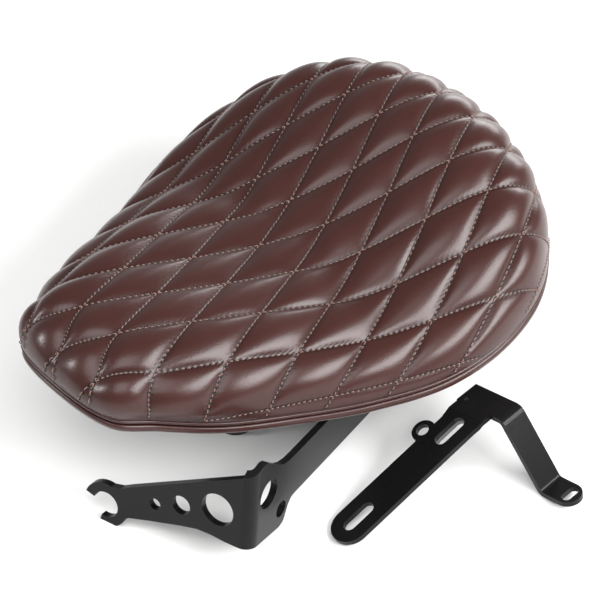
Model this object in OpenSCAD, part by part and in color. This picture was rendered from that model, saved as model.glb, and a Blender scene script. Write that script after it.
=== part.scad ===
// Solo motorcycle seat with a diamond-quilted cover, standing on its bumpers,
// laid out with the two steel brackets that fasten it to a frame.
// Units are millimetres. +Y runs towards the rear of the seat, +X towards the
// rider's left, +Z up. The origin is the centre of the mounting bolt pattern,
// on the underside of the mounting plate.

/* [Seat] */
// Height of the cushion above the seat's lower edge at mid length
cushion_height = 54; // [50:1:60]
// Rise of the seat's lower edge towards the nose
front_rise = 38; // [30:1:40]
// Rise of the seat's lower edge towards the rear
rear_rise = 13; // [10:1:20]
// Rise of the cushion's crown towards the nose
nose_crown = 29; // [26:1:34]
// Rise of the cushion's crown towards the rear
rear_crown = 42; // [34:1:46]
// Thickness of the moulded seat pan
pan_thickness = 4; // [3:0.5:5]
// Thickness of the cover material
cover_thickness = 1.2; // [1:0.1:1.5]
// Thickness of the wadding under the quilted cover
wadding_thickness = 8; // [6:0.5:10]
// Height of the band below the welt
band_height = 9; // [8:0.5:10]
// Width of the cover's hem under the pan
hem_width = 20; // [16:1:24]

/* [Mounting] */
// Bolt spacing across the seat
bolt_spacing_x = 60; // [50:1:70]
// Bolt spacing along the seat
bolt_spacing_y = 80; // [74:1:84]
// Radius of the mounting bolts
bolt_r = 4; // [3:0.5:5]
// Thickness of the steel mounting plate
plate_thickness = 3; // [2:0.5:4]

/* [Bumpers] */
// Distance of the front bumpers from the centre line
front_bumper_x = 28; // [26:1:32]
// Distance of the front bumpers ahead of the mounting pattern's centre
front_bumper_y = 75; // [74:1:90]
// Distance of the rear bumpers from the centre line
rear_bumper_x = 64; // [60:1:70]
// Distance of the rear bumpers behind the mounting pattern's centre
rear_bumper_y = 96; // [90:1:102]
// Height of a rubber bumper
bumper_height = 47.5; // [46:0.5:50]
// Radius of a bumper at the pan
bumper_r = 15; // [13:0.5:15.5]

/* [Brackets] */
// Thickness of the front bracket's plate
front_plate = 4.5; // [4:0.25:5]
// Inner radius of the front bracket's hook
hook_r = 9; // [8:0.5:9.5]
// Radius of the large lightening hole
large_hole_r = 11; // [9:0.5:12]
// Radius of the medium lightening hole
medium_hole_r = 6.5; // [5:0.5:7]
// Radius of the small hole
small_hole_r = 4; // [3:0.5:5]
// Thickness of the rear bracket's plate
rear_plate = 3.5; // [3:0.25:4]
// Width of the rear bracket's strap
strap_width = 26; // [24:1:28]
// Width of the strap's slots
slot_width = 8.5; // [8:0.25:9]

/* [Hidden] */

edge_z = plate_thickness + 2;             // lowest part of the seat's edge
half_length = 175;
function arc_r(rise) = (half_length * half_length + rise * rise) / (2 * rise);
front_r = arc_r(front_rise);              // the edge follows two arcs that meet at mid length
rear_r = arc_r(rear_rise);
boss_z = 4;                               // underside of the pan's bumper bosses
washer = 1.5;
floor_z = boss_z - washer - bumper_height;
stud_r = 3;
rim_lift = band_height + 1.5;             // lower edge of the quilted cover
gap = 0.3;

// Half of the seat's outline from nose to rear, as x and y.
half_outline = [[0, -187], [40, -181], [56, -157], [77, -125], [97, -83],
                [119, -38], [138, 12], [141, 62], [128, 108], [96, 145],
                [48, 168], [0, 174]];
steps = 3;                                // spline steps between two points

function mirrored(p) = [for (i = [len(p) - 2 : -1 : 1]) [-p[i][0], p[i][1]]];
ring_points = concat(half_outline, mirrored(half_outline));
function spline(a, b, c, d, t) = 0.5 * (2 * b + (c - a) * t
    + (2 * a - 5 * b + 4 * c - d) * t * t + (3 * b - a - 3 * c + d) * t * t * t);
function closed_spline(p, k) = let (n = len(p)) [for (i = [0 : n - 1])
    for (j = [0 : k - 1]) spline(p[(i + n - 1) % n], p[i], p[(i + 1) % n],
                                 p[(i + 2) % n], j / k)];
outline = closed_spline(ring_points, steps);
N = len(outline);

function edge_normal(i) = let (d = outline[(i + 1) % N] - outline[(i + N - 1) % N])
    [d[1], -d[0]] / norm(d);
function inset(i, d) = outline[i] - d * edge_normal(i);

// Height of the lower edge and of the crown at a distance along the seat.
function edge_at(y) = let (r = y < 0 ? front_r : rear_r) edge_z + r - sqrt(r * r - y * y);
function edge_tilt(y) = asin(y / (y < 0 ? front_r : rear_r));
function smooth(u) = u * u * (3 - 2 * u);
function crown_at(y) = edge_z + cushion_height
    + (y < 0 ? nose_crown : rear_crown) * smooth(min(1, abs(y) / half_length));

// The cushion's surface: station i around it, r = 0 at the middle, 1 at the edge.
function fullness(i) = let (c = outline[i][1] / norm(outline[i])) 1.7 + 4.6 * c * c;
function dome(i, r) = sqrt(max(0, 1 - pow(r, fullness(i))));
function cushion(i, r, depth) = let (e = inset(i, depth), p = e * r,
    low = edge_at(p[1]) + rim_lift, high = crown_at(p[1]) - depth)
    [p[0], p[1], low + (high - low) * dome(i, r)];

radii = [0.2, 0.4, 0.56, 0.7, 0.8, 0.88, 0.94, 0.98, 1];
M = len(radii);
function layer(depth) = [for (r = radii) for (i = [0 : N - 1]) cushion(i, r, depth)];
function middle(depth) = [0, 0, crown_at(0) - depth];
function dome_faces(o, c, up) = concat(
    [for (i = [0 : N - 1]) up ? [c, o + (i + 1) % N, o + i] : [c, o + i, o + (i + 1) % N]],
    [for (k = [0 : M - 2]) for (i = [0 : N - 1]) let (a = o + k * N + i,
        b = o + k * N + (i + 1) % N) for (f = up ? [[a, b, b + N], [a, b + N, a + N]]
                                                 : [[b, a, b + N], [b + N, a, a + N]]) f]);

// A closed skin between two depths below the cushion's outer surface.
module skin(outer, inner)
    polyhedron(points = concat(layer(outer), layer(inner), [middle(outer), middle(inner)]),
        faces = concat(dome_faces(0, 2 * M * N, true), dome_faces(M * N, 2 * M * N + 1, false),
            [for (i = [0 : N - 1]) let (a = (M - 1) * N + i, b = (M - 1) * N + (i + 1) % N,
                c = a + M * N, d = b + M * N) for (f = [[a, b, d], [a, d, c]]) f]));

// A section swept round the outline; each point is [inset, height above the edge].
module swept(section) {
    K = len(section);
    polyhedron(points = [for (i = [0 : N - 1]) for (q = section)
            let (p = inset(i, q[0])) [p[0], p[1], edge_at(p[1]) + q[1]]],
        faces = [for (i = [0 : N - 1]) for (k = [0 : K - 1]) let (a = i * K + k,
            b = i * K + (k + 1) % K, c = ((i + 1) % N) * K + k,
            d = ((i + 1) % N) * K + (k + 1) % K) for (f = [[a, b, d], [a, d, c]]) f]);
}
function oval(x, z, rx, rz, n) = [for (k = [0 : n - 1])
    [x - rx * cos(360 * k / n), z + rz * sin(360 * k / n)]];

// Half of the pan's sheet: s is -1 for the front half and 1 for the rear half.
module pan_sheet(r, s)
    intersection() {
        translate([0, 0, edge_z + r]) rotate([0, 90, 0]) difference() {
            cylinder(r = r - 1, h = 400, center = true, $fn = 180);
            cylinder(r = r - 1 - pan_thickness, h = 410, center = true, $fn = 180);
        }
        linear_extrude(100) intersection() {
            polygon([for (i = [0 : N - 1]) inset(i, 6)]);
            translate([-200, s > 0 ? -0.01 : -220]) square([400, 220.01]);
        }
    }

module at_corners(x, y) for (sx = [-1, 1], sy = [-1, 1]) translate([sx * x, sy * y, 0]) children();
// Places children on the seat's lower surface, with +Z square to it.
module on_edge(x, y) translate([x, y, edge_at(y)]) rotate([edge_tilt(y), 0, 0]) children();
module at_bumpers() for (s = [-1, 1]) {
    translate([s * front_bumper_x, -front_bumper_y, 0]) children();
    translate([s * rear_bumper_x, rear_bumper_y, 0]) children();
}

module seat_pan() color([0.05, 0.05, 0.055]) difference() {
    union() {
        pan_sheet(front_r, -1);
        pan_sheet(rear_r, 1);
        translate([-58, -54, plate_thickness]) cube([116, 108, 5]);
        at_bumpers() translate([0, 0, boss_z]) cylinder(r = bumper_r, h = 9);
    }
    at_corners(bolt_spacing_x / 2, bolt_spacing_y / 2) cylinder(r = 8.5, h = 40);
    at_bumpers() cylinder(r = stud_r + 0.05, h = 60);
    at_corners(48, 30) cylinder(r = 2.2, h = 40);
    for (s = [-1, 1]) on_edge(0, s * 120) translate([0, 0, -5]) cylinder(r = 5.2, h = 20);
}

module mounting_plate() color([0.2, 0.2, 0.21]) difference() {
    linear_extrude(plate_thickness - 0.05) difference() {
        square([112, 104], center = true);
        for (sx = [-1, 1], sy = [-1, 1]) translate([sx * bolt_spacing_x / 2, sy * bolt_spacing_y / 2])
            circle(r = bolt_r, $fn = 48);
        for (sx = [-1, 1], sy = [-1, 1]) translate([sx * 48, sy * 30]) circle(r = 2.2, $fn = 32);
        square([30, 44], center = true);
    }
    at_corners(48, 30) translate([0, 0, -1]) cylinder(r = 4.1, h = 2.5, $fn = 32);
}

module weld_nuts() color([0.55, 0.55, 0.56])
    at_corners(bolt_spacing_x / 2, bolt_spacing_y / 2) translate([0, 0, plate_thickness])
        difference() {
            cylinder(r = 7.5, h = 6.5, $fn = 6);
            translate([0, 0, -1]) cylinder(r = bolt_r, h = 9, $fn = 48);
        }

module plate_rivets() color([0.6, 0.6, 0.62]) at_corners(48, 30) {
    translate([0, 0, 0.1]) cylinder(r = 4, h = 1.3, $fn = 32);
    translate([0, 0, 0.1]) cylinder(r = 2, h = 10.4, $fn = 32);
}

module foam_pad() color([0.85, 0.8, 0.6]) {
    depth = cover_thickness + wadding_thickness + 2 * gap;
    under = [1, 0.75, 0.5];               // rings of its underside, which follows the pan
    base = [for (r = under) for (i = [0 : N - 1]) let (p = inset(i, depth) * r)
            [p[0], p[1], max(edge_at(p[1]) + pan_thickness + 2.2, 15)]];
    o = M * N + 1;
    polyhedron(points = concat(layer(depth), [middle(depth)], base, [[0, 0, 15]]),
        faces = concat(dome_faces(0, M * N, true),
            [for (i = [0 : N - 1]) let (a = (M - 1) * N + i, b = (M - 1) * N + (i + 1) % N,
                c = o + i, d = o + (i + 1) % N) for (f = [[a, b, d], [a, d, c]]) f],
            [for (k = [0, 1]) for (i = [0 : N - 1]) let (a = o + k * N + i,
                b = o + k * N + (i + 1) % N) for (f = [[a, b, b + N], [a, b + N, a + N]]) f],
            [for (i = [0 : N - 1]) [o + 2 * N + i, o + 2 * N + (i + 1) % N, o + 3 * N]]));
}

module quilt_wadding() color([0.93, 0.93, 0.9])
    skin(cover_thickness + gap, cover_thickness + wadding_thickness + gap);
module quilted_cover() color([0.2, 0.07, 0.05]) skin(0, cover_thickness);
module welt_piping() color([0.16, 0.05, 0.04])
    swept(oval(1.2, band_height - 0.5 + 0.3, 1.7, 1.4, 10));
module side_band() color([0.18, 0.06, 0.045])
    swept(oval(2.4, 3.4, 2.9, 3.8, 12));
module cover_hem() color([0.12, 0.05, 0.04])
    swept([[6, -0.3], [6, 0.8], [hem_width, 0.8], [hem_width, -0.3]]);

module hem_staples() color([0.7, 0.7, 0.72]) for (i = [1 : 3 : N - 1]) {
    p = inset(i, hem_width - 6);
    d = edge_normal(i);
    on_edge(p[0], p[1]) translate([0, 0, -0.65]) rotate(atan2(d[1], d[0]) + 90)
        cube([10, 1.2, 0.5], center = true);
}

module bumper() color([0.04, 0.04, 0.045]) translate([0, 0, floor_z]) difference() {
    union() {
        cylinder(r1 = bumper_r - 1.5, r2 = bumper_r - 0.5, h = 8);
        translate([0, 0, 8]) cylinder(r = bumper_r - 3, h = bumper_height - 18);
        translate([0, 0, bumper_height - 10]) cylinder(r = bumper_r - 0.5, h = 9.95);
    }
    translate([0, 0, bumper_height - 16]) cylinder(r = stud_r + 0.05, h = 20);
}
module bumper_front_left() translate([front_bumper_x, -front_bumper_y, 0]) bumper();
module bumper_front_right() translate([-front_bumper_x, -front_bumper_y, 0]) bumper();
module bumper_rear_left() translate([rear_bumper_x, rear_bumper_y, 0]) bumper();
module bumper_rear_right() translate([-rear_bumper_x, rear_bumper_y, 0]) bumper();

module bumper_washers() color([0.65, 0.65, 0.67])
    at_bumpers() translate([0, 0, boss_z - washer]) difference() {
        cylinder(r = 12, h = washer - 0.05);
        translate([0, 0, -1]) cylinder(r = stud_r + 0.1, h = 4);
    }

module bumper_studs() color([0.6, 0.6, 0.62])
    at_bumpers() translate([0, 0, boss_z - washer - 15.5]) cylinder(r = stud_r, h = 25);

module pan_grommets() color([0.03, 0.03, 0.03]) for (s = [-1, 1])
    on_edge(0, s * 120) translate([0, 0, -0.5]) difference() {
        union() {
            cylinder(r = 8, h = 1.2, $fn = 48);
            cylinder(r = 5, h = 5, $fn = 48);
        }
        translate([0, 0, -1]) cylinder(r = 3, h = 9, $fn = 48);
    }

// Front bracket: a hooked plate and a strap joined by one square bend.
bend_r = 8;
hook_centre = [-104, -11.5];
module round_slot(length, width) {
    square([length - width, width], center = true);
    for (s = [-1, 1]) translate([s * (length - width) / 2, 0]) circle(r = width / 2, $fn = 48);
}
module hook_profile() difference() {
    union() {
        polygon([[-bend_r, 48.2], [-87, 8.4], [-93, 5], [-100, 3.5], [-100, -23], [-94, -19],
                 [-87, -14.6], [-71, -9.8], [-49, -3.8], [-37, -1.2], [-27, -1.2], [-18, -2.2],
                 [-bend_r, -2.5]]);
        translate(hook_centre) circle(r = 15.5, $fn = 96);
    }
    translate(hook_centre) circle(r = hook_r, $fn = 96);
    translate(hook_centre) rotate(208) polygon([[0, 0], [14, -14], [40, -18], [40, 18], [14, 14]]);
    translate([-24, 18.8]) circle(r = large_hole_r, $fn = 96);
    translate([-49.5, 11.2]) circle(r = medium_hole_r, $fn = 64);
    translate([-68, 4]) circle(r = small_hole_r, $fn = 48);
}
module strap_profile() difference() {
    union() {
        polygon([[bend_r, -2.5], [34, -4], [38.5, -2.5], [40.5, 0.5], [43.6, 7.6], [47, 11], [52, 12],
                 [56, 12.2], [157, 20.3], [157, 50.5], [50, 42], [41, 41.5], [34, 42.5], [28, 45],
                 [20, 50.5], [15, 54], [11, 55], [bend_r, 54.2]]);
        translate([157, 35.4]) rotate(4.6) circle(r = 15.1, $fn = 96);
    }
    translate([18.2, 29.8]) circle(r = 9.5, $fn = 96);
    translate([35, 9]) circle(r = 5.5, $fn = 64);
    translate([154, 35.2]) rotate(4.6) round_slot(22, slot_width);
}
module front_bracket() color([0.06, 0.06, 0.065])
    translate([127.5, -153, -16.5]) rotate([-17, -3, 16]) {
        translate([0, front_plate, 0]) rotate([90, 0, 0]) linear_extrude(front_plate) hook_profile();
        translate([-front_plate, 0, 0]) rotate([90, 0, 90]) linear_extrude(front_plate) strap_profile();
        translate([-bend_r, bend_r, -2.5]) intersection() {
            difference() {
                cylinder(r = bend_r, h = 60, $fn = 96);
                translate([0, 0, -1]) cylinder(r = bend_r - front_plate, h = 70, $fn = 96);
            }
            rotate([90, 0, 90]) linear_extrude(bend_r + 1)
                polygon([[-bend_r - 1, 0], [0.01, 0], [0.01, 56.7], [-bend_r - 1, 50.7]]);
        }
    }

// Rear bracket: a slotted strap, a top plate, a leg and a slotted foot. Its frame
// starts at the bend between the leg and the foot.
leg_angle = 63.4;                         // between the leg and the plates
leg_length = 53;
fold_r = 3;                               // inner radius of the folds
foot_length = 23;
top_length = 39;
tab_width = 18;
strap_length = 112;
strap_drop = 16;
strap_yaw = -9;
fold_out = fold_r + rear_plate;
leg_top = leg_length * [-cos(leg_angle), sin(leg_angle)];
fold_a = [fold_r / tan(90 - leg_angle / 2), fold_r];
fold_b = leg_top - [fold_out * tan(leg_angle / 2), fold_out];
strap_root = [leg_top[0] - 23, -6];
function arc(c, r, from, to) = [for (k = [0 : 6]) let (a = from + (to - from) * k / 6)
    c + r * [cos(a), sin(a)]];
module tab_profile() polygon(concat(
    [[foot_length, 0]], arc(fold_a, fold_r, -90, -90 - leg_angle),
    arc(fold_b, fold_out, 90 - leg_angle, 90),
    [[leg_top[0] - top_length, leg_top[1]], [leg_top[0] - top_length, leg_top[1] - rear_plate]],
    arc(fold_b, fold_r, 90, 90 - leg_angle), arc(fold_a, fold_out, -90 - leg_angle, -90),
    [[foot_length, -rear_plate]]));
// Places children in the strap's frame: -Y along the strap, its top face at z = 0.
module on_strap() translate([strap_root[0], strap_root[1], leg_top[1] - fold_out])
    rotate([strap_drop, 0, 0]) translate([0, 0, fold_out]) rotate(strap_yaw) children();
module strap_outline() {
    translate([-strap_width / 2, -strap_length + strap_width / 2])
        square([strap_width, strap_length - strap_width / 2 - 2]);
    translate([0, -strap_length + strap_width / 2]) circle(r = strap_width / 2, $fn = 96);
    translate([-strap_width / 2 - 2, -24]) circle(r = 8, $fn = 64);
    rotate(-strap_yaw) polygon([[-15, 0.02], [13, 0.02], [13, -3], [11, -12], [-14, -12]]);
}
module rear_frame() translate([210.2, 15.2, -41]) rotate([0, -15, 0]) children();
module rear_bracket() color([0.06, 0.06, 0.065]) rear_frame() difference() {
    union() {
        translate([0, tab_width + 1, 0]) rotate([90, 0, 0]) linear_extrude(tab_width) tab_profile();
        translate([strap_root[0] - 15, strap_root[1], leg_top[1] - rear_plate])
            cube([28, 10, rear_plate]);
        translate([strap_root[0] - 15, strap_root[1], leg_top[1] - fold_out])
            rotate([90, 0, 90]) rotate_extrude(angle = strap_drop, start = 90, $fn = 96)
                translate([fold_r, 0]) square([rear_plate, 28]);
        on_strap() translate([0, 0, -rear_plate]) linear_extrude(rear_plate) strap_outline();
    }
    translate([foot_length - tab_width / 2, 1 + tab_width / 2, -rear_plate - 1])
        linear_extrude(rear_plate + 1.02) difference() {
            translate([0, -tab_width]) square([tab_width, 2 * tab_width]);
            circle(r = tab_width / 2, $fn = 96);
        }
    translate([foot_length - 7.5, 1 + tab_width / 2, -rear_plate - 1]) rotate(90)
        linear_extrude(rear_plate + 2) round_slot(13, 6.5);
    translate([leg_top[0] - 34, tab_width - 13, leg_top[1] - rear_plate - 1])
        cylinder(r = 2, h = rear_plate + 2, $fn = 32);
    on_strap() translate([0, 0, -rear_plate - 1]) linear_extrude(rear_plate + 2) {
        for (y = [-14, -strap_length + 20]) translate([0, y]) rotate(90) round_slot(23, slot_width);
        translate([-strap_width / 2 - 3, -24]) circle(r = 4.2, $fn = 48);
    }
}
module rear_bracket_doubler() color([0.3, 0.3, 0.31]) rear_frame() on_strap()
    translate([0, 0, -rear_plate - 3.05]) linear_extrude(3) difference() {
        translate([-10, -35]) square([20, 34]);
        translate([0, -14]) rotate(90) round_slot(23, slot_width);
    }

seat_pan();
mounting_plate();
weld_nuts();
plate_rivets();
foam_pad();
quilt_wadding();
quilted_cover();
welt_piping();
side_band();
cover_hem();
hem_staples();
bumper_front_left();
bumper_front_right();
bumper_rear_left();
bumper_rear_right();
bumper_washers();
bumper_studs();
pan_grommets();
front_bracket();
rear_bracket();
rear_bracket_doubler();
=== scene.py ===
import math
import random

import bpy
import numpy as np
from mathutils import Matrix, Vector


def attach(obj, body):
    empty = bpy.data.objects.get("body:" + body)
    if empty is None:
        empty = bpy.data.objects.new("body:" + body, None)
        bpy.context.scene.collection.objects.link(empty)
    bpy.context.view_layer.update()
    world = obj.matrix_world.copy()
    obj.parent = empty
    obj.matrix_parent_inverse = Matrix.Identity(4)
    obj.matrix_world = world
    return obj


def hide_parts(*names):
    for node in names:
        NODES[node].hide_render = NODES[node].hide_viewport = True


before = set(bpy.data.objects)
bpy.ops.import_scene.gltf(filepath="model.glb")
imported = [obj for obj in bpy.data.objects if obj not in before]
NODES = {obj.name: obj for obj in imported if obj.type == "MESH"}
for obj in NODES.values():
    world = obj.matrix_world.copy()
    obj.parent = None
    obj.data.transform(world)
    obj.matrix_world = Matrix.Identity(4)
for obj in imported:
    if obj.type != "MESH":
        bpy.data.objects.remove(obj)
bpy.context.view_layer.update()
MM = 0.001

# ---------------------------------------------------------------- the seat's surface, in mm
HALF = [(0, -187), (40, -181), (56, -157), (77, -125), (97, -83), (119, -38), (138, 12), (141, 62),
        (128, 108), (96, 145), (48, 168), (0, 174)]
EDGE_Z, HALF_LENGTH = 5.0, 175.0
CUSHION, NOSE_CROWN, REAR_CROWN, FRONT_RISE, REAR_RISE = 54.0, 29.0, 42.0, 38.0, 13.0
RIM_LIFT, PAN, COVER, WADDING, HEM = 10.5, 4.0, 1.2, 8.0, 20.0
FLOOR = -45.0
CROSS, ALONG = 16.1, 42.3            # half diagonals of a quilt diamond
QUILT_X, QUILT_Y = 2.0, -192.4       # a stitch crossing, in arc length from the crown
NOSE_FOLD, NOSE_DRIFT = 13, 7        # how far the crossings near the nose are pulled back and aside
SINK, PUFF = 1.3, 4.2                # depth of a stitch line, height of a diamond above it
PUFF_CAP = 0.0018                    # most that the simulation may move a point, in m
FRAMES = 20                          # frames of simulation
RIM_FADE, BOLSTER_FADE = 22.0, 22    # width of the flat rim, and how much wider it is at the rear
NOSE_LIFT = 4.0                      # how much fuller the cover is over the nose
STITCHES = 12                        # stitches on one side of a diamond
UV_SPAN = 20.0                       # quilt units in the whole 0 to 1 square of the UV map
UV_SHIFT = (7, 6)                    # whole units that keep both UV coordinates positive
FOAM_FLOOR = 15                      # the foam's lowest flat height
HEM_START = 6                        # the hem's inset where it leaves the band


def edge_at(y):
    """Height of the seat's edge, which rises on an arc to each end."""
    rise = np.where(y < 0, FRONT_RISE, REAR_RISE)
    r = (HALF_LENGTH ** 2 + rise ** 2) / (2 * rise)
    return EDGE_Z + r - np.sqrt(r * r - y * y)


def crown_at(y):
    """Height of the cushion along its middle, lowest at the saddle."""
    u = np.minimum(1, np.abs(y) / HALF_LENGTH)
    return EDGE_Z + CUSHION + np.where(y < 0, NOSE_CROWN, REAR_CROWN) * u * u * (3 - 2 * u)


def spline_ring(steps):
    """The outline as a Catmull-Rom curve, with this many steps to each stretch of HALF."""
    b = np.array(HALF + [(-x, y) for x, y in HALF[-2:0:-1]], float)
    a, c, d = np.roll(b, 1, 0), np.roll(b, -1, 0), np.roll(b, -2, 0)
    t = (np.arange(steps) / steps)[None, :, None]
    a, b, c, d = (q[:, None, :] for q in (a, b, c, d))
    p = 2 * b + (c - a) * t + (2 * a - 5 * b + 4 * c - d) * t ** 2 + (3 * b - a - 3 * c + d) * t ** 3
    return (0.5 * p).reshape(-1, 2)


def outward(ring):
    """Unit normals of a ring, in the plane."""
    d = np.roll(ring, -1, 0) - np.roll(ring, 1, 0)
    n = np.stack([d[:, 1], -d[:, 0]], 1)
    return n / np.linalg.norm(n, axis=1)[:, None]


def dome(ring, radii, depth=0.0):
    """Points of the cushion at these fractions of the way out to a ring."""
    c = ring[:, 1] / np.linalg.norm(ring, axis=1)
    full = 1.7 + 4.6 * c * c
    p = (ring - depth * outward(ring))[None] * radii[:, None, None]
    low, high = edge_at(p[..., 1]) + RIM_LIFT, crown_at(p[..., 1]) - depth
    z = low + (high - low) * np.sqrt(np.maximum(0, 1 - radii[:, None] ** full[None]))
    return np.dstack([p, z])


# The dome as a table over the angle round the crown and the arc length out from it.
RING = spline_ring(30)
TURN = np.unwrap(np.arctan2(RING[:, 1], RING[:, 0]))
RADII = np.concatenate([np.linspace(0, 0.9, 130), 1 - 0.1 * (1 - np.linspace(0, 1, 60)[1:]) ** 1.6])
TABLE = dome(RING, RADII)
ARC = np.concatenate([np.zeros((1, len(RING))),
                      np.cumsum(np.linalg.norm(np.diff(TABLE, axis=0), axis=2), 0)])


def on_dome(x, y):
    """Points at arc lengths x, y from the crown, and how far inside the rim each lies."""
    turn = TURN[0] + np.mod(np.arctan2(y, x) - TURN[0], 2 * math.pi)
    k = np.interp(turn, np.append(TURN, TURN[0] + 2 * math.pi), np.arange(len(RING) + 1))
    k0 = np.floor(k).astype(int)
    w = (k - k0)[None]
    k0, k1 = k0 % len(RING), (k0 + 1) % len(RING)
    arcs = ARC[:, k0] * (1 - w) + ARC[:, k1] * w
    rho = np.hypot(x, y)
    inside = arcs[-1] - rho
    rho = np.minimum(rho, arcs[-1])
    j = np.clip((arcs < rho[None]).sum(0) - 1, 0, len(RADII) - 2)
    i = np.arange(len(x))
    f = ((rho - arcs[j, i]) / (arcs[j + 1, i] - arcs[j, i]))[:, None]
    w = w[0][:, None]
    low = TABLE[j, k0] * (1 - w) + TABLE[j, k1] * w
    high = TABLE[j + 1, k0] * (1 - w) + TABLE[j + 1, k1] * w
    return low * (1 - f) + high * f, inside


def dome_normal(x, y, inside):
    """Unit normals of the dome, taken just inside the rim for points on or past it."""
    step = 0.6
    rho = np.hypot(x, y)
    pull = np.minimum(1, (rho + np.minimum(inside, 0) - 2 * step) / np.maximum(rho, 1e-6))
    x, y = x * pull, y * pull
    dx = on_dome(x + step, y)[0] - on_dome(x - step, y)[0]
    dy = on_dome(x, y + step)[0] - on_dome(x, y - step)[0]
    n = np.cross(dx, dy)
    return n / np.linalg.norm(n, axis=1)[:, None]


# Crossings along the quilt's axis; the first one at the nose is drawn in by the fold there.
ROWS = np.linspace(-2, 12, 281)
ALONG_ROWS = ROWS * ALONG + QUILT_Y + NOSE_FOLD * np.exp(-(ROWS / 0.6) ** 2)


def drift(along):
    """Sideways place of the quilt's axis, which bends over at the nose."""
    return QUILT_X - NOSE_DRIFT * np.exp(-((along - QUILT_Y) / 50) ** 2)


def lattice(a, b):
    """Arc lengths of the point a, b of the quilt; stitch lines run where a or b is whole."""
    y = np.interp(a + b - 1, ROWS, ALONG_ROWS)
    return (a - b + 1) * CROSS + drift(y), y


def unlattice(x, y):
    """The a, b of the point at these arc lengths."""
    m, t = (x - drift(y)) / CROSS, np.interp(y, ALONG_ROWS, ROWS)
    return (m + t) / 2, (t - m) / 2 + 1


def fade(y):
    """Width over which the quilting flattens out towards the rim, wider over the rear bolster."""
    u = np.clip((y - 30) / 90, 0, 1)
    return RIM_FADE + BOLSTER_FADE * u * u * (3 - 2 * u)


def nose_lift(y, inside):
    """Extra height of the cover over the nose."""
    return NOSE_LIFT * np.exp(-((y + 165) / 38) ** 2) * near_rim(inside, 10)


def near_rim(inside, width):
    """Rises smoothly from 0 at the rim to 1 at this distance inside it."""
    u = np.clip(inside / width, 0, 1)
    return u * u * (3 - 2 * u)


def quilted(a, b, depth=0.0, puff=PUFF):
    """Points of the quilted surface, this far under it."""
    x, y = lattice(a, b)
    p, inside = on_dome(x, y)
    n = dome_normal(x, y, inside)
    fa, fb = (np.abs(np.mod(t, 1) - 0.5) * 2 for t in (a, b))
    hill = np.clip((1 - fa ** 2) * (1 - fb ** 2), 0, 1) ** 0.68
    lift = (puff * hill - SINK) * near_rim(inside, fade(y)) + nose_lift(y, inside) - depth
    return p + n * lift[:, None]


# ---------------------------------------------------------------- mesh helpers
def piece(name, verts, faces, material, body="seat", smooth=True):
    """A mesh object from points in mm; without a body it belongs to the stage."""
    me = bpy.data.meshes.new(name)
    me.from_pydata([tuple(v) for v in np.asarray(verts) * MM], [], [tuple(map(int, f)) for f in faces])
    me.validate()
    me.update()
    if smooth:
        me.shade_smooth()
    ob = bpy.data.objects.new(name, me)
    bpy.context.scene.collection.objects.link(ob)
    me.materials.append(material)
    if body:
        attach(ob, body)
    return ob


def quilt_grid(n):
    """A grid of n cells to a diamond side, cut at the rim.

    Returns each point's a, b, the faces, flags for points at the rim and on a stitch line, and the a, b
    that the points had before those at the rim were moved to it."""
    i, j = np.meshgrid(np.arange(-6 * n, 11 * n + 1), np.arange(-5 * n, 12 * n + 1), indexing="ij")
    a, b = i.ravel() / n, j.ravel() / n
    x, y = lattice(a, b)
    inside = on_dome(x, y)[1]
    cell = 36.0 / n                                        # a little under a cell's side, in mm
    rim = inside < 0.45 * cell
    rows, cols = i.shape
    v = np.arange(rows * cols).reshape(rows, cols)
    quads = np.stack([v[:-1, :-1], v[1:, :-1], v[1:, 1:], v[:-1, 1:]], -1).reshape(-1, 4)
    quads = quads[(~rim[quads]).any(1)]
    used = np.unique(quads)
    new = np.full(len(a), -1)
    new[used] = np.arange(len(used))
    a, b, rim, inside = a[used], b[used], rim[used], inside[used]
    # Points at the rim move straight out or in to it.
    x, y = lattice(a, b)
    r = np.hypot(x, y)
    k = np.where(rim, (r + inside) / r, 1)
    ra, rb = unlattice(x * k, y * k)
    line = np.isclose(np.mod(i.ravel()[used], n), 0) | np.isclose(np.mod(j.ravel()[used], n), 0)
    return ra, rb, new[quads], rim, line, a, b


def swept(section, steps):
    """A closed section swept round the outline; section(arc) gives its insets and heights there."""
    ring = spline_ring(steps)
    n = outward(ring)
    count = len(ring)
    arc = np.concatenate([[0], np.cumsum(np.linalg.norm(np.diff(ring, axis=0), axis=1))])
    cut = section(arc)                                     # (count, K, 2)
    p = ring[:, None, :] - cut[..., :1] * n[:, None, :]
    z = edge_at(p[..., 1]) + cut[..., 1]
    verts = np.dstack([p, z]).reshape(-1, 3)
    k_n = cut.shape[1]
    faces = [(i * k_n + k, ((i + 1) % count) * k_n + k, ((i + 1) % count) * k_n + (k + 1) % k_n,
              i * k_n + (k + 1) % k_n) for i in range(count) for k in range(k_n)]
    return verts, faces


def modify(ob, kind, **values):
    m = ob.modifiers.new(kind.title(), kind)
    for key, value in values.items():
        setattr(m, key, value)


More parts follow.
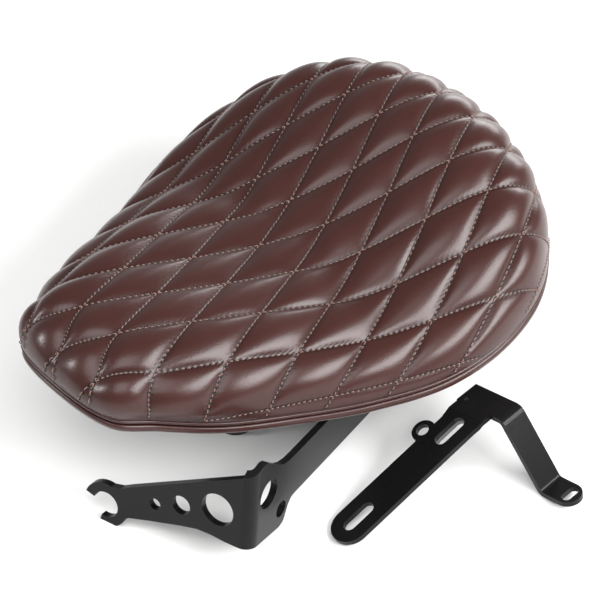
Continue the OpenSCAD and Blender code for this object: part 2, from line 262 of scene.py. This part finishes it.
# ---------------------------------------------------------------- materials
class Nodes:
    """A new material, and short ways to add and link its nodes."""

    def __init__(self, name):
        self.mat = bpy.data.materials.new(name)
        self.mat.use_nodes = True
        self.tree = self.mat.node_tree
        self.bsdf = self.tree.nodes["Principled BSDF"]

    def add(self, kind, inputs=None, **props):
        node = self.tree.nodes.new(kind)
        for key, value in props.items():
            setattr(node, key, value)
        for key, value in (inputs or {}).items():
            if isinstance(value, bpy.types.NodeSocket):
                self.tree.links.new(value, node.inputs[key])
            else:
                node.inputs[key].default_value = value
        return node

    def math(self, op, *args):
        return self.add("ShaderNodeMath", dict(enumerate(args)), operation=op).outputs[0]

    def ramp(self, fac, low, high, c0, c1):
        node = self.add("ShaderNodeValToRGB", {0: fac})
        e = node.color_ramp.elements
        e[0].position, e[1].position = low, high
        e[0].color, e[1].color = (*c0, 1), (*c1, 1)
        return node.outputs[0]

    def where(self):
        return self.add("ShaderNodeTexCoord").outputs["Object"]

    def noise(self, scale, detail=3.0, rough=0.5):
        return self.add("ShaderNodeTexNoise", {"Vector": self.where(), "Scale": scale, "Detail": detail,
                                               "Roughness": rough}).outputs["Fac"]

    def cells(self, scale, feature="F1"):
        return self.add("ShaderNodeTexVoronoi", {"Vector": self.where(), "Scale": scale},
                        feature=feature).outputs["Distance"]

    def mix(self, fac, c0, c1):
        node = self.add("ShaderNodeMix", {0: fac}, data_type="RGBA")
        for k, c in ((6, c0), (7, c1)):
            if isinstance(c, bpy.types.NodeSocket):
                self.tree.links.new(c, node.inputs[k])
            else:
                node.inputs[k].default_value = (*c, 1)
        return node.outputs[2]

    def bump(self, height, strength, distance, after=None):
        inputs = {"Height": height, "Strength": strength, "Distance": distance}
        if after is not None:
            inputs["Normal"] = after
        return self.add("ShaderNodeBump", inputs).outputs["Normal"]

    def done(self, color=None, rough=None, normal=None, **fixed):
        for key, value in (("Base Color", color), ("Roughness", rough), ("Normal", normal)):
            if value is None:
                continue
            if isinstance(value, bpy.types.NodeSocket):
                self.tree.links.new(value, self.bsdf.inputs[key])
            else:
                self.bsdf.inputs[key].default_value = value if key == "Roughness" else (*value, 1)
        for key, value in fixed.items():
            self.bsdf.inputs[key.replace("_", " ")].default_value = value
        return self.mat


DEEP, LIGHT = (0.012, 0.0027, 0.0021), (0.047, 0.0125, 0.0095)


def leather(name, stitched=False):
    n = Nodes(name)
    cloud = n.noise(14, 4, 0.6)
    fine = n.noise(260, 3, 0.6)
    color = n.ramp(cloud, 0.3, 0.72, tuple(0.8 * a + 0.2 * b for a, b in zip(LIGHT, DEEP)), LIGHT)
    color = n.mix(n.math("MULTIPLY", fine, 0.35), color, DEEP)
    grain = n.cells(950)
    crease = n.cells(420, "DISTANCE_TO_EDGE")
    normal = n.bump(grain, 0.10, 0.0004)
    normal = n.bump(n.math("MINIMUM", crease, 0.09), 0.16, 0.0012, normal)
    rough = n.math("ADD", n.math("MULTIPLY", fine, 0.10), n.math("MULTIPLY_ADD", cloud, 0.10, 0.22))
    if stitched:
        uv = n.add("ShaderNodeUVMap", uv_map="quilt").outputs[0]
        part = n.add("ShaderNodeSeparateXYZ", {0: uv})
        side = math.hypot(CROSS, ALONG)
        across = 2 * CROSS * ALONG / side
        a, b = (n.math("MULTIPLY", part.outputs[k], UV_SPAN) for k in (0, 1))
        away = [n.math("MULTIPLY", n.math("PINGPONG", t, 0.5), across) for t in (a, b)]
        holes, ripples = [], []
        for line, run in ((0, b), (1, a)):
            phase = n.math("PINGPONG", n.math("MULTIPLY", run, STITCHES), 0.5)
            step = n.math("MULTIPLY", phase, side / STITCHES)
            dist = n.math("SQRT", n.math("ADD", n.math("POWER", step, 2.0),
                                         n.math("POWER", n.math("MULTIPLY", away[line], 0.8), 2.0)))
            holes.append(dist)
            wave = n.math("COSINE", n.math("MULTIPLY", run, 2 * math.pi * STITCHES))
            nearby = n.math("POWER", 2.718, n.math("MULTIPLY", away[line], -0.75))
            ripples.append(n.math("MULTIPLY", wave, nearby))
        hole = n.math("MINIMUM", *holes)
        ripple = n.math("ADD", *ripples)
        normal = n.bump(ripple, 0.15, 0.0006, normal)
        normal = n.bump(n.math("MINIMUM", hole, 0.9), 0.9, 0.0006, normal)
        seam = n.math("MINIMUM", *away)
        # Painted shade: the leather is darkened towards DEEP within 2.6 mm of each stitch line, where the
        # creases are.
        crease_shade = n.add("ShaderNodeMapRange", {"Value": seam, "From Min": 0.0, "From Max": 2.6,
                                              "To Min": 0.55, "To Max": 0.0}).outputs[0]
        color = n.mix(crease_shade, color, DEEP)
        # Painted shade: the leather turns nearly black at each needle hole, where the recess is in shade.
        hole_shade = n.add("ShaderNodeMapRange", {"Value": hole, "From Min": 0.6, "From Max": 1.0,
                                            "To Min": 1.0, "To Max": 0.0}).outputs[0]
        color = n.mix(hole_shade, color, (0.004, 0.002, 0.002))
        # Lighter, in cloudy patches, towards the middle of each diamond, far from the stitch lines.
        top = n.add("ShaderNodeMapRange", {"Value": seam, "From Min": 7.0, "From Max": 15.0,
                                           "To Min": 0.0, "To Max": 0.25}).outputs[0]
        crown_tint = n.math("MULTIPLY", top, cloud)
        color = n.mix(crown_tint, color, (0.075, 0.025, 0.020))
    return n.done(color, rough, normal, IOR=1.42, Coat_Weight=0.10, Coat_Roughness=0.2,
                  Sheen_Weight=0.06, Sheen_Roughness=0.4)


def thread():
    n = Nodes("thread")
    lay = n.add("ShaderNodeTexWave", {"Vector": n.where(), "Scale": 900.0, "Distortion": 2.0}).outputs["Fac"]
    color = n.mix(n.noise(400, 2), (0.16, 0.08, 0.06), (0.28, 0.15, 0.115))
    return n.done(color, 0.6, n.bump(lay, 0.5, 0.0002), Sheen_Weight=0.3)


def powder_coat():
    n = Nodes("powder_coat")
    peel = n.noise(700, 2, 0.5)
    speck = n.noise(2600, 2, 0.5)
    scuff = n.ramp(n.noise(60, 6, 0.75), 0.66, 0.74, (0.0, 0.0, 0.0), (1.0, 1.0, 1.0))
    color = n.mix(n.math("MULTIPLY", n.noise(35, 3), 0.6), (0.0045, 0.0045, 0.005), (0.010, 0.010, 0.0105))
    color = n.mix(n.math("MULTIPLY", scuff, 0.12), color, (0.06, 0.06, 0.062))
    rough = n.math("MULTIPLY_ADD", speck, 0.10, 0.20)
    return n.done(color, rough, n.bump(speck, 0.06, 0.0003, n.bump(peel, 0.10, 0.0008)), IOR=1.27)


def rubber():
    n = Nodes("rubber")
    bloom = n.noise(45, 4, 0.65)
    color = n.mix(bloom, (0.012, 0.012, 0.0125), (0.032, 0.031, 0.030))
    return n.done(color, n.math("MULTIPLY_ADD", bloom, 0.2, 0.55), n.bump(n.noise(1500, 3), 0.2, 0.0003))


def steel(name, tint, rough, coat=0.0):
    n = Nodes(name)
    brushed = n.add("ShaderNodeTexNoise", {"Vector": n.add("ShaderNodeMapping", {
        "Vector": n.where(), "Scale": (60.0, 1400.0, 900.0)}).outputs[0], "Scale": 1.0,
        "Detail": 3.0}).outputs["Fac"]
    dull = n.noise(90, 5, 0.7)
    color = n.mix(dull, tint, tuple(0.72 * c for c in tint))
    return n.done(color, n.math("MULTIPLY_ADD", dull, 0.22, rough), n.bump(brushed, 0.12, 0.0002),
                  Metallic=1.0, Coat_Weight=coat)


def moulded():
    n = Nodes("moulded_pan")
    spark = n.cells(1300)
    color = n.mix(n.noise(25, 4), (0.013, 0.013, 0.014), (0.026, 0.026, 0.027))
    return n.done(color, n.math("MULTIPLY_ADD", n.noise(70, 3), 0.2, 0.42), n.bump(spark, 0.35, 0.0003))


def foam():
    n = Nodes("foam")
    pores = n.cells(520)
    color = n.mix(n.math("MULTIPLY", pores, 1.2), (0.62, 0.50, 0.28), (0.80, 0.70, 0.46))
    return n.done(color, 0.9, n.bump(pores, 0.8, 0.0012))


def fibre():
    n = Nodes("wadding")
    strands = n.noise(330, 6, 0.8)
    return n.done(n.mix(strands, (0.62, 0.61, 0.58), (0.86, 0.85, 0.82)), 0.95, n.bump(strands, 0.9, 0.0015),
                  Sheen_Weight=0.4)


# Painted shadow: a mottled grey for the rear bracket's doubler, lighter than the black brackets, standing in
# for the floor's shadow and reflection seen there.
def shadow_grey_paint():
    n = Nodes("painted_shadow_grey")
    mottle = n.noise(120, 5, 0.7)
    color = n.mix(mottle, (0.10, 0.10, 0.103), (0.17, 0.17, 0.172))
    return n.done(color, n.math("MULTIPLY_ADD", mottle, 0.15, 0.45), n.bump(n.noise(1500, 2), 0.15, 0.0002))


COVER_LEATHER = leather("quilted_leather", stitched=True)
PLAIN_LEATHER = leather("plain_leather")
THREAD, COAT, RUBBER, MOULDED, SHADOW_GREY = thread(), powder_coat(), rubber(), moulded(), shadow_grey_paint()
ZINC = steel("zinc_plate", (0.62, 0.60, 0.54), 0.28)
PLATE = steel("mounting_steel", (0.34, 0.34, 0.35), 0.34, 0.2)
BRASS = steel("blackened_grommet", (0.10, 0.10, 0.105), 0.35)


# ---------------------------------------------------------------- the quilted cover
def inflate(ob, pinned, cap):
    """Cloth pressure under a mesh, held at its pinned points, with each move kept under cap metres."""
    rest = np.array([v.co[:] for v in ob.data.vertices])
    group = ob.vertex_groups.new(name="held")
    group.add([int(k) for k in np.nonzero(pinned)[0]], 1.0, "REPLACE")
    mod = ob.modifiers.new("Cloth", "CLOTH")
    s = mod.settings
    s.quality = 6
    s.mass = 0.25
    s.tension_stiffness, s.compression_stiffness, s.shear_stiffness, s.bending_stiffness = 40, 40, 20, 6.0
    s.use_pressure, s.uniform_pressure_force = True, 4.0
    s.shrink_min = 0.0
    s.vertex_group_mass, s.pin_stiffness = "held", 1.0
    s.effector_weights.gravity = 0.0
    mod.collision_settings.use_collision = False
    mod.collision_settings.use_self_collision = False
    mod.point_cache.frame_start, mod.point_cache.frame_end = 1, FRAMES
    for f in range(1, FRAMES + 1):
        bpy.context.scene.frame_set(f)
    seen = ob.evaluated_get(bpy.context.evaluated_depsgraph_get())
    now = np.array([v.co[:] for v in seen.to_mesh().vertices])
    seen.to_mesh_clear()
    ob.modifiers.remove(mod)
    bpy.context.scene.frame_set(1)
    move = now - rest
    size = np.linalg.norm(move, axis=1)
    move *= (cap * np.tanh(size / cap) / np.maximum(size, 1e-9))[:, None]
    ob.data.vertices.foreach_set("co", (rest + move).ravel())
    ob.data.update()


def quilted_cover():
    """The stitched leather, with a sharper edge along every stitch line."""
    a, b, quads, rim, line, ga, gb = quilt_grid(12)
    ob = piece("quilted_cover_skin", quilted(a, b), quads, COVER_LEATHER)
    me = ob.data
    uv = me.uv_layers.new(name="quilt")
    loops = np.array([l.vertex_index for l in me.loops])
    u, v = (a[loops] + UV_SHIFT[0]) / UV_SPAN, (b[loops] + UV_SHIFT[1]) / UV_SPAN
    uv.data.foreach_set("uv", np.stack([u, v], 1).ravel())
    inflate(ob, line | rim, PUFF_CAP)
    crease = me.attributes.new("crease_edge", "FLOAT", "EDGE")
    ends = np.array([e.vertices[:] for e in me.edges])
    on = [(np.isclose(g, np.round(g))[ends].all(1)) & (np.round(g)[ends[:, 0]] == np.round(g)[ends[:, 1]])
          for g in (ga, gb)]
    crease.data.foreach_set("value", np.where(on[0] | on[1], 0.75, 0.0))
    modify(ob, "SUBSURF", levels=1, render_levels=1)
    modify(ob, "SOLIDIFY", thickness=1.1 * MM, offset=-1)
    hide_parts("quilted_cover")


def cover_stitches():
    """Short bowed threads along every stitch line, each between two needle holes."""
    rng = random.Random(7)
    side = math.hypot(CROSS, ALONG)
    starts = []
    for k in range(-6, 12):
        for s in range(-7 * STITCHES, 13 * STITCHES):
            t = s / STITCHES
            for ends in (((k, t), (k, t + 1 / STITCHES)), ((t, k), (t + 1 / STITCHES, k))):
                starts.append(ends)
    ends = np.array(starts, float)                         # (count, 2, 2)
    mids = ends.mean(1)
    x, y = lattice(mids[:, 0], mids[:, 1])
    keep = on_dome(x, y)[1] > 2.5
    ends = ends[keep]
    wobble = np.array([rng.uniform(-1, 1) for _ in range(2 * len(ends))]).reshape(-1, 2)
    rows, around = 6, 6                                    # rings along a thread, points round a ring
    x0, y0 = lattice(ends[:, 0, 0], ends[:, 0, 1])
    x1, y1 = lattice(ends[:, 1, 0], ends[:, 1, 1])
    d = on_dome(x1, y1)[0] - on_dome(x0, y0)[0]
    d /= np.linalg.norm(d, axis=1)[:, None]
    verts = []
    for i, u in enumerate(np.linspace(0.16, 0.84, rows)):
        at = ends[:, 0] * (1 - u) + ends[:, 1] * u
        x, y = lattice(at[:, 0], at[:, 1])
        p, inside = on_dome(x, y)
        n = dome_normal(x, y, inside)
        s = np.cross(n, d)
        bow = math.sin(math.pi * i / (rows - 1))
        rise = nose_lift(y, inside) - SINK * near_rim(inside, fade(y))
        height = rise - 0.35 + 0.95 * bow + 0.08 * wobble[:, 0]
        c = p + n * height[:, None] + s * (0.12 * wobble[:, 1])[:, None]
        r = 0.14 + 0.25 * bow ** 0.5
        for k in range(around):
            q = 2 * math.pi * k / around
            verts.append(c + r * (math.cos(q) * s + math.sin(q) * n))
    verts = np.stack(verts, 1)                             # (count, rows*around, 3)
    faces = np.array([(i * around + k, i * around + (k + 1) % around, (i + 1) * around + (k + 1) % around,
                       (i + 1) * around + k) for i in range(rows - 1) for k in range(around)])
    caps = [tuple(range(around))[::-1], tuple(range((rows - 1) * around, rows * around))]
    every = []
    for c in range(len(verts)):
        base = c * rows * around
        every += (faces + base).tolist()
        every += [[v + base for v in cap] for cap in caps]
    ob = piece("quilt_stitching", verts.reshape(-1, 3), every, THREAD)


def closed_layer(name, top, under, quads, material):
    """A closed solid between two copies of one grid."""
    count = len(top)
    edges = {}
    for q in quads:
        for k in range(4):
            e = (int(q[k]), int(q[(k + 1) % 4]))
            edges[e] = edges.get(e, 0) + 1
    rim = [e for e in edges if (e[1], e[0]) not in edges]
    faces = [tuple(q) for q in quads] + [tuple(int(v) + count for v in q[::-1]) for q in quads]
    faces += [(e[1], e[0], e[0] + count, e[1] + count) for e in rim]
    return piece(name, np.concatenate([top, under]), faces, material)


def wadding():
    """The layer between cover and foam, lower in each diamond than the cover is."""
    a, b, quads, *_ = quilt_grid(5)
    top = quilted(a, b, COVER + 0.5, puff=0.62 * PUFF)
    x, y = lattice(a, b)
    base, inside = on_dome(x, y)
    n = dome_normal(x, y, inside)
    under = base - n * (COVER + WADDING - 0.6)
    low = edge_at(under[:, 1]) + RIM_LIFT + 0.3
    for layer in (top, under):
        layer[:, :2] *= 0.988
        layer[:, 2] = np.maximum(layer[:, 2], low)
    ob = closed_layer("quilt_wadding_layer", top, under, quads, fibre())
    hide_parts("quilt_wadding")


def foam_block():
    """The foam between the wadding and the pan."""
    depth = COVER + WADDING + 1.2
    ring = spline_ring(6)
    radii = np.array([0.1, 0.22, 0.34, 0.45, 0.55, 0.64, 0.72, 0.79, 0.85, 0.9, 0.94, 0.97, 0.99, 1.0])
    top = dome(ring, radii, depth)
    n = outward(ring)
    base = []
    for r in (1, 0.75, 0.5, 0.25):
        p = (ring - depth * n) * r
        base.append(np.column_stack([p, np.maximum(edge_at(p[:, 1]) + PAN + 2.4, FOAM_FLOOR)]))
    rings = list(top) + base
    count = len(ring)
    verts = np.concatenate(rings + [[[0, 0, crown_at(np.array(0.0)) - depth], [0, 0, FOAM_FLOOR]]])
    faces = []
    for k in range(len(rings) - 1):
        o = k * count
        faces += [(o + i, o + count + i, o + count + (i + 1) % count, o + (i + 1) % count)
                  for i in range(count)]
    last, tip = (len(rings) - 1) * count, len(verts) - 2
    faces += [(tip, i, (i + 1) % count) for i in range(count)]
    faces += [(tip + 1, last + (i + 1) % count, last + i) for i in range(count)]
    ob = piece("foam_block", verts, faces, foam())
    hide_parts("foam_pad")


def ripple(arc, seed, waves, base):
    """A sum of seeded waves that closes on itself round the outline."""
    rng = random.Random(seed)
    total = arc[-1]
    out = np.zeros_like(arc)
    for _ in range(waves):
        k = rng.randint(base, base * 3)
        out += np.cos(2 * math.pi * (k * arc / total + rng.random())) * rng.uniform(0.3, 1)
    return out / waves


def edge_pieces():
    """The welt, the rolled band under it and the gathered hem, each swept round the seat."""
    turn = np.linspace(0, 2 * math.pi, 16, endpoint=False)

    def welt(arc):
        r = 1 + 0.05 * ripple(arc, 3, 6, 30)
        x = 1.2 - 1.7 * np.cos(turn)[None] * r[:, None]
        z = RIM_LIFT - 1.7 + 1.4 * np.sin(turn)[None] * r[:, None]
        return np.dstack([x, z])

    def band(arc):
        r = 1 + 0.035 * ripple(arc, 5, 7, 22)
        square = np.sign(np.cos(turn)) * np.abs(np.cos(turn)) ** 0.8
        x = 2.4 - 2.9 * square[None] * r[:, None]
        z = 2.6 + 3.1 * np.sin(turn)[None] * r[:, None]
        return np.dstack([x, z])

    def hem(arc):
        fold = ripple(arc, 9, 8, 34)
        u = np.linspace(0, 1, 8)
        x = HEM_START + (HEM - HEM_START) * u
        low = -0.3 - (0.12 + 0.45 * u[None] ** 1.5) * np.maximum(0, fold[:, None]) * 2
        high = np.full_like(low, 0.8)
        there, back = np.broadcast_to(x, low.shape), np.broadcast_to(x[::-1], low.shape)
        return np.dstack([np.concatenate([there, back], 1), np.concatenate([high, low[:, ::-1]], 1)])

    for name, section, node in (("welt_piping_roll", welt, "welt_piping"),
                                ("side_band_roll", band, "side_band"),
                                ("gathered_hem", hem, "cover_hem")):
        verts, faces = swept(section, 24)
        ob = piece(name, verts, faces, PLAIN_LEATHER)
        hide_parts(node)


quilted_cover()
cover_stitches()
wadding()
foam_block()
edge_pieces()

# ---------------------------------------------------------------- the rigid pieces
# Each CAD node's material, and the width of its bevels in mm.
RIGID = {"seat_pan": (MOULDED, 0.5), "mounting_plate": (PLATE, 0.4), "weld_nuts": (ZINC, 0.4),
         "plate_rivets": (ZINC, 0.3), "hem_staples": (ZINC, 0.15), "bumper_washers": (ZINC, 0.3),
         "bumper_studs": (ZINC, 0.3), "pan_grommets": (BRASS, 0.25), "front_bracket": (COAT, 0.55),
         # The doubler's grey is painted shadow.
         "rear_bracket": (COAT, 0.5), "rear_bracket_doubler": (SHADOW_GREY, 0.4)}
RIGID.update({f"bumper_{end}_{side}": (RUBBER, 1.2)
              for end in ("front", "rear") for side in ("left", "right")})
for name, (material, bevel) in RIGID.items():
    ob = NODES[name]
    ob.data.materials.clear()
    ob.data.materials.append(material)
    modify(ob, "BEVEL", width=bevel * MM, segments=3, limit_method="ANGLE", angle_limit=math.radians(38),
           harden_normals=True, use_clamp_overlap=True)

# ---------------------------------------------------------------- floor, camera, lights
REACH = 4000                         # half the floor's side
floor = piece("floor", [(-REACH, -REACH, FLOOR), (REACH, -REACH, FLOOR), (REACH, REACH, FLOOR),
                        (-REACH, REACH, FLOOR)],
              [(0, 1, 2, 3)], Nodes("floor").done((0.86, 0.86, 0.855), 0.75), body=None, smooth=False)


def look(azimuth, elevation):
    """The direction from the seat towards a viewer or a light, azimuth 0 being at the nose."""
    a, e = math.radians(azimuth), math.radians(elevation)
    return Vector((math.sin(a) * math.cos(e), -math.cos(a) * math.cos(e), math.sin(e)))


def camera(azimuth, elevation, roll, target, right_shift, up_shift, distance, lens):
    back = look(azimuth, elevation)
    right = Vector((math.cos(math.radians(azimuth)), math.sin(math.radians(azimuth)), 0))
    up = back.cross(right)
    r = math.radians(roll)
    right, up = math.cos(r) * right + math.sin(r) * up, math.cos(r) * up - math.sin(r) * right
    cam = bpy.data.objects.new("camera", bpy.data.cameras.new("camera"))
    bpy.context.scene.collection.objects.link(cam)
    place = Matrix((right, up, back)).transposed().to_4x4()
    place.translation = Vector(target) + back * distance + right * right_shift + up * up_shift
    cam.matrix_world = place
    cam.data.lens, cam.data.sensor_width = lens, 36
    bpy.context.scene.camera = cam


camera(47.95, 46.03, -2.61, (0, 0.025, 0.075), -0.0071, -0.0712, 1.2057, 113.56)


def softbox(name, azimuth, elevation, distance, size, power):
    """A rectangular white light that faces the seat."""
    light = bpy.data.lights.new(name, "AREA")
    light.shape, light.size, light.size_y, light.energy = "RECTANGLE", size[0], size[1], power
    ob = bpy.data.objects.new(name, light)
    bpy.context.scene.collection.objects.link(ob)
    way = look(azimuth, elevation)
    ob.location = Vector((0, 0, 0.04)) + way * distance
    ob.rotation_euler = way.to_track_quat("Z", "Y").to_euler()


softbox("side_box", 112, 33, 1.3, (1.0, 0.62), 27)
softbox("rear_box", 200, 10, 1.5, (1.1, 0.4), 11)
softbox("nose_box", 322, 26, 1.4, (0.3, 0.3), 7)
softbox("key_box", 35, 62, 1.7, (1.3, 1.3), 20)
world = bpy.data.worlds.new("studio")
bpy.context.scene.world = world
world.use_nodes = True
world.node_tree.nodes["Background"].inputs[0].default_value = (1, 1, 1, 1)
world.node_tree.nodes["Background"].inputs[1].default_value = 0.3
bpy.context.scene.view_settings.view_transform = "Standard"
